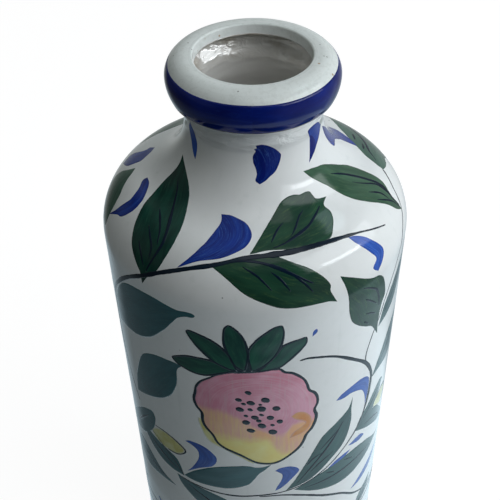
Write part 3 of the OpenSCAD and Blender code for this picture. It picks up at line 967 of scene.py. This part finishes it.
blue("big", (-19.2, 41.6), [(-13.5, 41.4), (-9, 42.6), (-5, 44.4), (-2.6, 47.1), (-1.6, 50.5), (-3, 54.6),
                            (-6, 58), (-13.5, 62.7), (-22.5, 66.3)],
     [(-18.2, 44.5), (-18.6, 47), (-19.8, 50), (-21.5, 56), (-25, 63.4)], (-29.9, 71.9), across=22)
blue("left_crescent", (-79.3, 48.6), [(-74, 48.5), (-68.5, 51.5), (-64.5, 55.5), (-63.3, 60.5), (-64.5, 65),
                                      (-67, 68.7), (-69.8, 70)],
     [(-79, 51), (-75, 53.5), (-72.5, 56), (-70.5, 60), (-71.5, 65), (-73, 70)], (-75.8, 75.3))
blue("far_left_crescent", (-107.5, 48.3), [(-103.5, 49), (-99.5, 51), (-96.5, 53), (-96, 57), (-97, 61.5)],
     [(-108.5, 51.5), (-106.8, 53), (-106, 56), (-107, 61), (-106.5, 64.5)], (-102.5, 66.8))
blue("neck_front", (1.2, 8.2), [(5, 7.9), (10, 8.5), (15, 10.2), (20, 12.9), (21.8, 15), (19.6, 18.5),
                                (16, 21.7), (11, 24), (8, 25.6)],
     [(2.3, 9.8), (0.1, 10.1), (1.3, 11.3), (-0.9, 13.4), (-1, 16.5), (0.9, 19.6), (1.8, 22.5),
      (0.8, 25.2)], (3.6, 27), across=24, jag=0.26,
     material=NECK_BLUE)
blue("neck_front_core", (2, 9.6), [(5.4, 12.2), (8.4, 16), (9, 20), (7.4, 24)],
     [(1.9, 12.4), (4, 15.8), (5, 19.6), (3.6, 23.4)], (2.8, 26.2),
     material=BAND, lift=0.07, jag=0.3)
blue("neck_right", (45.6, 23.6), [(48.5, 20), (50.3, 15.5), (50.8, 11), (48.5, 8.2), (55, 7.3), (62.5, 7.7),
                                  (67.5, 9.6)],
     [(52.5, 21.2), (57.5, 19.2), (62.5, 17), (67, 15)], (71, 11.9), across=18, jag=0.25)
blue("neck_right_core", (51, 10.6), [(56, 13.4), (58, 16.8), (54, 20.4)], [(50.6, 15.3), (48.6, 19.7)],
     (46.1, 23.4),
     material=BAND, lift=0.07, jag=0.2)
blue("neck_left", (-62, 6.2), [(-65, 10), (-60.5, 15), (-55.5, 19.8)],
     [(-57.5, 8.5), (-52.6, 13), (-51, 17.5)], (-50.8, 22.6), material=LOW_BLUE)
blue("neck_far_right", (75, 14), [(85, 18), (95, 23), (105, 28.5), (113, 33)],
     [(79, 22), (83.5, 28.5), (86.7, 30.6), (93, 31.3), (99, 33)], (107, 38.5), across=16)
blue("shoulder_far_right", (108, 31), [(117, 35), (124, 40), (126, 43.5), (123.5, 46.5), (117, 48.3),
                                       (110, 50)],
     [(103.5, 35.5), (107.5, 40), (108, 44), (107, 48)], (104.8, 52.4), across=16)
# the bent stroke takes LOW_BLUE as a painted reflection of the window
blue("bent", (40.4, 63.2), [(43.5, 64.2), (47, 66.7), (50, 70.8), (53, 76), (53.4, 79.5), (51.5, 83.3)],
     [(42, 66.7), (44.5, 71.2), (47, 75.8), (48.6, 79.8), (46, 83.2)], (48.6, 86.9), material=LOW_BLUE)
blue("right_crescent", (32.2, 163.4), [(35, 160.6), (40, 159), (45, 158.8), (49, 161), (51.2, 165),
                                       (51.6, 174)],
     [(36, 164.7), (40, 164.5), (44, 166.5), (47, 169.5), (49.2, 176)], (50.3, 184.6))
blue("left_hook", (-31.3, 193), [(-29, 191.1), (-24, 191.2), (-20, 194), (-17.3, 199.5), (-19.5, 206.8),
                                 (-26, 212.7)],
     [(-28, 194.4), (-25.5, 198), (-25.7, 204.5), (-28.5, 212.5)], (-31.8, 219.6))
blue("right_hook", (6.7, 206.8), [(9, 204.8), (13.5, 205), (17, 209.5), (14, 215.9), (9.5, 222.6)],
     [(8, 208.2), (9.8, 211), (9.4, 216), (7.6, 221.5)], (6.8, 224.6))
blue("dot", (21.3, 104.2), [(21.9, 105.0), (21.8, 106.3), (21.1, 107.4)], [(20.4, 105.0), (20.0, 106.6)],
     (20.0, 108.6),
     jag=0.05, material=LOW_BLUE)
blue("stem_upper", (41.6, 209.4), [(46, 208), (50, 208.5)], [(45, 211.6), (49, 213)], (52.6, 212.2))
blue("stem_lower", (31, 218.4), [(34.5, 215.4), (39, 214)], [(34.5, 219), (40, 217)], (43.2, 214.2))
blue("low_right", (46.5, 255.2), [(54, 250.5), (62, 246.5), (69, 243)], [(54, 256), (62, 253.5), (68, 249)],
     (72, 243))

# The fruit: crown leaves, washes, outline and seeds
CROWN_LEAVES = (
    ("low_left", (-33.2, 129.1), [(-30, 126.4), (-26, 124), (-21, 122.9), (-17, 122.9), (-13, 125),
                                  (-9.5, 127.2)],
     [(-31, 132), (-25, 134.4), (-20.5, 134.4), (-17, 132.9), (-14, 130.9), (-10, 128.6)], (-7, 127.8)),
    ("left", (-25.8, 106.4), [(-24, 105.6), (-20, 106.8), (-16.5, 108.6), (-13.5, 111.4), (-11.5, 114.5),
                              (-9.5, 119)],
     [(-24.5, 110), (-22.5, 114), (-20, 117.7), (-17.5, 121), (-14.5, 124), (-11, 126.4)], (-7.5, 127.5)),
    ("middle_left", (-9.8, 96.8), [(-11.2, 99.4), (-11.7, 104), (-11.7, 109), (-11, 113.5), (-9.8, 118.2),
                                   (-8, 124)],
     [(-8, 98.6), (-6, 101.8), (-4.5, 105.9), (-3.6, 110.9), (-3.2, 117.3)], (-4.5, 127.5)),
    ("middle_right", (8.8, 97.4), [(6, 98.4), (3, 101.8), (0, 105.9), (-2.5, 111.4), (-3.2, 117.3)],
     [(9.4, 101.8), (9.2, 106.4), (8.4, 111.2), (6, 118.2), (2.5, 123.6)], (-2, 127.5)),
    ("right", (17.7, 107.8), [(15, 108.6), (12, 109.5), (9, 111.6), (7, 116.4), (4.5, 120.9), (2, 125)],
     [(17.8, 111.4), (16.5, 114.5), (14, 118.2), (11, 122.3), (8, 125.5), (3, 127)], (-0.5, 127.8)),
)
FRUIT_OUTLINE = [
    (8, 126.8), (10, 129.4), (12.8, 130.9), (15.5, 134.1), (17.6, 137.7), (18.8, 141.8), (19.8, 146.4),
    (22, 149.5), (23.3, 153.6), (23.5, 158.2), (22.4, 162.6), (23.3, 167.3), (23, 171.8), (21.7, 176.8),
    (19.4, 180.9), (18.3, 185.5), (16.5, 190), (13, 194.5), (9, 198.4), (5, 200), (0, 199), (-3, 196.8),
    (-6.5, 193.4), (-10, 190.9), (-13.5, 188.6), (-16.5, 185), (-18.2, 179.6), (-21, 174.5),
    (-22.1, 170), (-22.2, 163.8), (-24.3, 159.5), (-25.1, 154.5), (-24.3, 149), (-23.7, 144.5),
    (-21.5, 139.5), (-18, 135.5), (-15, 132.3), (-10, 129.2), (-5, 128), (0, 127), (4, 126.4)]
FRUIT_CENTRE = (-0.5, 163)
SEEDS = ((-3.5, 142.9, 1.6), (-7.2, 148.6, 1.6), (-5.3, 151.5, 1.2), (-2.6, 150.5, 1.9), (2.8, 148.5, 2.0),
         (0.9, 151.8, 1.0), (-6.8, 155.8, 1.9), (-2.9, 155.5, 1.3), (1.4, 155.1, 2.2), (7.0, 155.5, 1.9),
         (-4.6, 160.5, 1.1), (1.4, 159.6, 1.2), (-1.2, 161.6, 1.8), (4.8, 162.4, 1.8),
         (-4.6, 165.6, 1.9), (0.3, 164.3, 1.3), (8.4, 166.0, 1.6), (1.4, 168.2, 2.1), (5.6, 168.2, 1.1),
         (-2.8, 172.0, 1.9), (5.7, 173.8, 2.1))
YELLOW_SPILL = [(-24, 168), (-22.5, 180), (-19.5, 186.5), (-14, 190), (-7, 195.2), (-1, 200), (-4, 188),
                (-16, 176)]
OUTLINE_WIDTHS = (0.8, 0.65, 0.9, 0.8, 0.95, 0.85, 0.75, 0.7, 0.8, 0.75, 0.85, 0.8, 0.7, 0.45, 0.4, 0.8)


def crown_leaf(name, start, side_a, side_b, end):
    paint(patch, "crown_" + name, (start, side_a, side_b, end), CROWN, "leaf_enamel", lift=0.1)
    line(f"crown_edge_{name}_a", [start, *side_a, end], (0.45, 0.7, 0.6, 0.6), OUTLINE, lift=0.13)
    line(f"crown_edge_{name}_b", [start, *side_b, end], (0.45, 0.6, 0.7, 0.6), OUTLINE, lift=0.13)


def seed(name, a, s, size):
    wide = size * 1.12 / mm_per_degree(s)
    ring = [(a + wide * math.cos(u), s + size * math.sin(u + 0.2)) for u in np.arange(8) * math.pi / 4]
    paint(blob, name, (ring, (a, s)), OUTLINE, "dark_enamel", lift=0.12, rings=5, jag=0.14)


def bud(name, outline, centre, edge, widths):
    paint(blob, name, (outline, centre), YELLOW, "yellow_enamel", lift=0.05)
    line(name + "_outline", edge, widths, OUTLINE)


paint(blob, "fruit_yellow_spill", (YELLOW_SPILL, (-14, 182)), YELLOW, "yellow_enamel", lift=0.02)
paint(blob, "fruit_wash", (FRUIT_OUTLINE, FRUIT_CENTRE), FRUIT, "rose_enamel", lift=0.045, rings=22,
      count=150)
paint(patch, "fruit_orange",
      ((12.6, 163.6), [(15.5, 160.8), (18.5, 162.2), (20.8, 166), (21.6, 170.5), (21, 175), (18.5, 178.6)],
       [(14.6, 166.8), (17.4, 169.4), (18.4, 171.6), (16.4, 173.8), (13.6, 176.4)], (12, 181)),
      ORANGE, "yellow_enamel", lift=0.065)
line("fruit_outline", FRUIT_OUTLINE, OUTLINE_WIDTHS, OUTLINE, closed=True, lift=0.095)
paint(patch, "crown_heart",
      ((-12.5, 127.8), [(-9.5, 123.5), (-6.5, 120.5), (-4, 118.5), (-1, 119.5), (1.5, 122.5)],
       [(-9, 129.3), (-5, 128.9), (-1.5, 128.6), (1.5, 127.8)], (4.2, 126.3)),
      OUTLINE, "dark_enamel", lift=0.085)
for shape in CROWN_LEAVES:
    crown_leaf(*shape)
for k, shape in enumerate(SEEDS):
    seed(f"seed_{k:02d}", *shape)
bud("bud_left", [(-52, 205), (-48, 198.5), (-42, 195.4), (-36, 197.5), (-31.8, 202.7), (-36, 209),
                 (-42, 210.6), (-49, 209.5)], (-41, 203),
    [(-49, 197.3), (-42, 196), (-36, 198), (-31.8, 202.7), (-36, 208.6), (-42, 210)], (0.3, 0.6, 0.65, 0.5))
bud("bud_right", [(58.5, 196), (62.5, 192), (68, 190.8), (73, 195), (73, 201), (68, 205), (62.5, 200.8)],
    (66.5, 197.5), [(61, 193), (67, 190.8), (73, 195), (73.5, 201), (68, 205)], (0.3, 0.6, 0.5))


# ---------------------------------------------------------------- painted plants, unseen side and low down
def turned(points):
    """The same point or points on the far side of the pot, a little lower."""
    if isinstance(points[0], (int, float)):
        return points[0] + 180.0, points[1] + 2.0
    return [turned(p) for p in points]


SKIPPED_BEHIND = ("far_left", "far_right", "left_edge", "neck_left", "right_thin", "right_edge_high",
                  "right_edge_middle",
                  "upper_left", "upper_right", "left_crescent", "neck_right")
BEHIND = []
for maker, name, arguments, keywords, material, slot_name in PLANTS:
    if any(word in name for word in SKIPPED_BEHIND):
        continue
    shapes = (turned(arguments[0]), arguments[1]) if maker is stroke else turned(arguments)
    # the copies behind take LOW_LEAF in place of the painted shade of SHADE_LEAF
    material = LOW_LEAF if material is SHADE_LEAF else material
    BEHIND.append((maker, name + "_behind", shapes, keywords, material, slot_name))


def placer(a, s, length, wide, heading):
    """Gives at(u, v): the place on the wall u lengths along a heading and v widths across it.
    Heading 0 points up, growing clockwise, in degrees."""
    across = 1 / mm_per_degree(s)
    h = math.radians(heading)

    def at(u, v):
        x, y = u * length, v * wide
        return (a + (x * math.sin(h) + y * math.cos(h)) * across, s - x * math.cos(h) + y * math.sin(h))
    return at


def side_leaf(name, a, s, length, wide, heading):
    """A leaf drawn by rule from its base."""
    at = placer(a, s, length, wide, heading)
    bend = 0.25 * math.sin(heading * 2.3 + a)

    def sway(u):
        return bend * 4 * u * (1 - u)
    spine = [at(u, sway(u)) for u in (0.1, 0.35, 0.6, 0.85)]
    left = [at(u, -w + sway(u)) for u, w in ((0.2, 0.62), (0.42, 1.0), (0.68, 0.8), (0.88, 0.36))]
    right = [at(u, w + sway(u)) for u, w in ((0.16, 0.55), (0.38, 0.95), (0.62, 0.9), (0.85, 0.42))]
    veins = []
    for u in (0.25, 0.45):
        (a0, s0), (a1, s1) = at(u, 0.1 + sway(u)), at(u + 0.12, 0.55 + sway(u))
        veins.append([(a0, s0), ((a0 + a1) / 2, (s0 + s1) / 2 - 0.4), (a1, s1)])
    leaf(name, at(0, 0), left, right, at(1, 0), rib=spine, veins=veins, material=LOW_LEAF)


def comma(name, a, s, length, wide, heading):
    """A blue comma stroke drawn by rule."""
    at = placer(a, s, length, wide, heading)
    blue(name, at(0, 0.6), [at(0.12, 1.4), at(0.4, 1.9), at(0.7, 1.2)],
         [at(0.1, 0.1), at(0.38, 0.5), at(0.7, 0.35)], at(1, -0.4))


# the sides between the two fruits: (azimuth, s, length, width, heading)
SIDE_LEAVES = (
    (96, 118, 30, 9, -32), (97, 119, 34, 10, 40), (98, 160, 34, 10, -38), (99, 162, 30, 9, 35),
    (98, 205, 36, 10, -30), (98, 206, 32, 9, 48), (-96, 112, 30, 9, 30), (-99, 114, 34, 9, -42),
    (-97, 158, 32, 10, -30), (-95, 160, 26, 8, 48), (-95, 206, 34, 10, 22), (-97, 207, 34, 10, -45))
SIDE_COMMAS = ((82, 128, -20), (-112, 132, -25), (-114, 178, 200), (-83, 130, 200), (84, 222, -30))
STEM_WIDTHS = (0.3, 0.7, 0.9, 0.9, 0.8, 0.5)
for k, shape in enumerate(SIDE_LEAVES):
    side_leaf(f"side_{k:02d}", *shape)
for k, (a, s, heading) in enumerate(SIDE_COMMAS):
    comma(f"side_{k:02d}", a, s, 17, 3.6, heading)
branch("side_right", [(96, 95), (94, 118), (99, 140), (96, 162), (100, 185), (96, 208), (99, 238)],
       STEM_WIDTHS)
branch("side_left", [(-97, 92), (-94, 112), (-99, 135), (-94, 160), (-99, 185), (-94, 207), (-97, 236)],
       STEM_WIDTHS)
# behind the neck
for k, shape in enumerate(((163, 84, 32, 8, -62), (196, 82, 30, 8, 64))):
    side_leaf(f"back_shoulder_{k}", *shape)


def garland(a):
    """How far down the wall the garland round the foot runs at azimuth a."""
    return 284 + 7 * math.sin(math.radians(4 * a))


GARLAND_LEAVES = 16
branch("garland", [(a, garland(a)) for a in range(0, 360, 6)], (0.8, 0.95, 0.7, 0.9, 0.75), closed=True)
for k in range(GARLAND_LEAVES):
    a = 360 / GARLAND_LEAVES * k + 6
    # leaves and strokes point up and down by turns: where each starts from the stem, and its heading
    leaf_at, leaf_heading, comma_at, comma_heading = (0.5, 128, -19, 105) if k % 2 else (-0.5, 52, 17, 75)
    side_leaf(f"garland_{k:02d}", a, garland(a) + leaf_at, 24, 6.2, leaf_heading)
    comma(f"garland_{k:02d}", a + 5, garland(a) + comma_at, 11, 2.4, comma_heading)

for maker, name, arguments, keywords, material, slot_name in PLANTS + BEHIND:
    finish_piece(maker(name, *arguments, **keywords), material, slot_name)

# ---------------------------------------------------------------- floor, light
FLOOR_SIDE = 12.0
FLOOR_DROP = 0.0005     # the foot and the floor don't share a plane
floor_mesh = bpy.data.meshes.new("floor")
corners = [(x * FLOOR_SIDE / 2, y * FLOOR_SIDE / 2, 0) for x, y in ((-1, -1), (1, -1), (1, 1), (-1, 1))]
floor_mesh.from_pydata(corners, [], [(0, 1, 2, 3)])
floor = bpy.data.objects.new("floor", floor_mesh)
floor.location.z = -FLOOR_DROP
scene.collection.objects.link(floor)
m = Nodes("pale_floor")
grain = m.noise(m.place(), 40.0, 3.0)
floor_mesh.materials.append(m.finish(m.mix(grain, (0.11, 0.11, 0.11), (0.12, 0.12, 0.12)), 0.9))
m.shader.inputs["Emission Color"].default_value = (1, 1, 1, 1)
m.shader.inputs["Emission Strength"].default_value = 0.93
floor.visible_diffuse = floor.visible_glossy = False

LIGHTS_AIM = Vector((0, 0, 0.26))
LIGHT_DISTANCE = 1.5


def area_light(name, azimuth, elevation, width, height, radiance, colour, tilt=0):
    """A rectangular soft light that faces LIGHTS_AIM. radiance is what a mirror shows of it."""
    data = bpy.data.lights.new(name, "AREA")
    data.shape = "RECTANGLE"
    data.size, data.size_y = width, height
    data.energy = radiance * width * height * 4
    data.color = colour
    a, e = math.radians(azimuth), math.radians(elevation)
    out = Vector((math.sin(a) * math.cos(e), -math.cos(a) * math.cos(e), math.sin(e)))
    light = bpy.data.objects.new(name, data)
    light.location = LIGHTS_AIM + out * LIGHT_DISTANCE
    light.rotation_mode = "QUATERNION"
    light.rotation_quaternion = out.to_track_quat("Z", "Y") @ Quaternion((0, 0, 1), math.radians(tilt))
    scene.collection.objects.link(light)
    return light


DAYLIGHT = (0.93, 0.97, 1.0)
WINDOW_TILT = -14
area_light("window_upper", 71, 35, 1.6, 0.75, 2.45, DAYLIGHT, WINDOW_TILT)
sill = area_light("window_sill", 96, 12, 0.75, 0.36, 3.6, DAYLIGHT, WINDOW_TILT)
sill.visible_glossy = False
area_light("window_gap", 66, 26, 0.8, 0.13, 6.0, DAYLIGHT, WINDOW_TILT)
area_light("skylight", 120, 57, 0.5, 0.25, 2.0, (0.72, 0.96, 1.0))
area_light("ceiling_lamp", 22, 66, 0.9, 0.6, 0.65, (0.97, 0.98, 0.97))

world = bpy.data.worlds.new("room")
scene.world = world
world.use_nodes = True
sky = Nodes.__new__(Nodes)
sky.tree = world.node_tree
sky.tree.nodes.clear()
x, y, z = sky.split(sky.place_on_sky())[:3]
# how bright the room is each way: pale to the right and behind, dark to the left, with a ceiling
# above, and below it a corner and the table top
low_right = sky.minus(sky.ramp(y, 0.15, 0.48, 0.0, 0.62), sky.ramp(y, 0.5, 0.62, 0.0, 0.16))
table_edge = sky.ramp(sky.minus(z, sky.times(x, 0.11)), -0.72, -0.79)
light = sky.times(sky.ramp(x, 0.1, 0.95, 0.06, 0.5), sky.ramp(z, 0.0, 0.5, 1.0, 0.5))
for part in (
        sky.times(sky.ramp(y, 0.2, 0.7, 0.0, 0.5), sky.ramp(x, -0.8, -0.3)),
        sky.times(low_right, sky.times(sky.ramp(x, 0.0, 0.4), sky.ramp(z, 0.0, -0.25, 0.3, 1.0))),
        sky.ramp(z, 0.5, 0.95, 0.05, 0.38),
        sky.times(sky.ramp(x, -0.5, -0.9, 0.0, 0.16), sky.ramp(z, -0.2, 0.2)),
        sky.ramp(z, -0.3, -0.66, 0.03, 0.15),
        sky.times(table_edge, sky.ramp(x, -0.8, 0.4, 0.27, 1.12))):
    light = sky.most(light, part)
tint = sky.mix(sky.ramp(x, -0.5, 0.2), (0.94, 1.0, 0.97), DAYLIGHT)
tint = sky.mix(sky.ramp(z, -0.35, -0.7), tint, (0.76, 0.97, 1.09))
seen = sky.add("ShaderNodeLightPath").outputs["Is Camera Ray"]
background = sky.add("ShaderNodeBackground")
sky.put(background.inputs["Color"], sky.mix(seen, tint, (0.96, 0.96, 0.96)))
sky.put(background.inputs["Strength"], sky.most(seen, light))
sky.link(background.outputs[0], sky.add("ShaderNodeOutputWorld").inputs[0])
scene.view_settings.view_transform = "Standard"
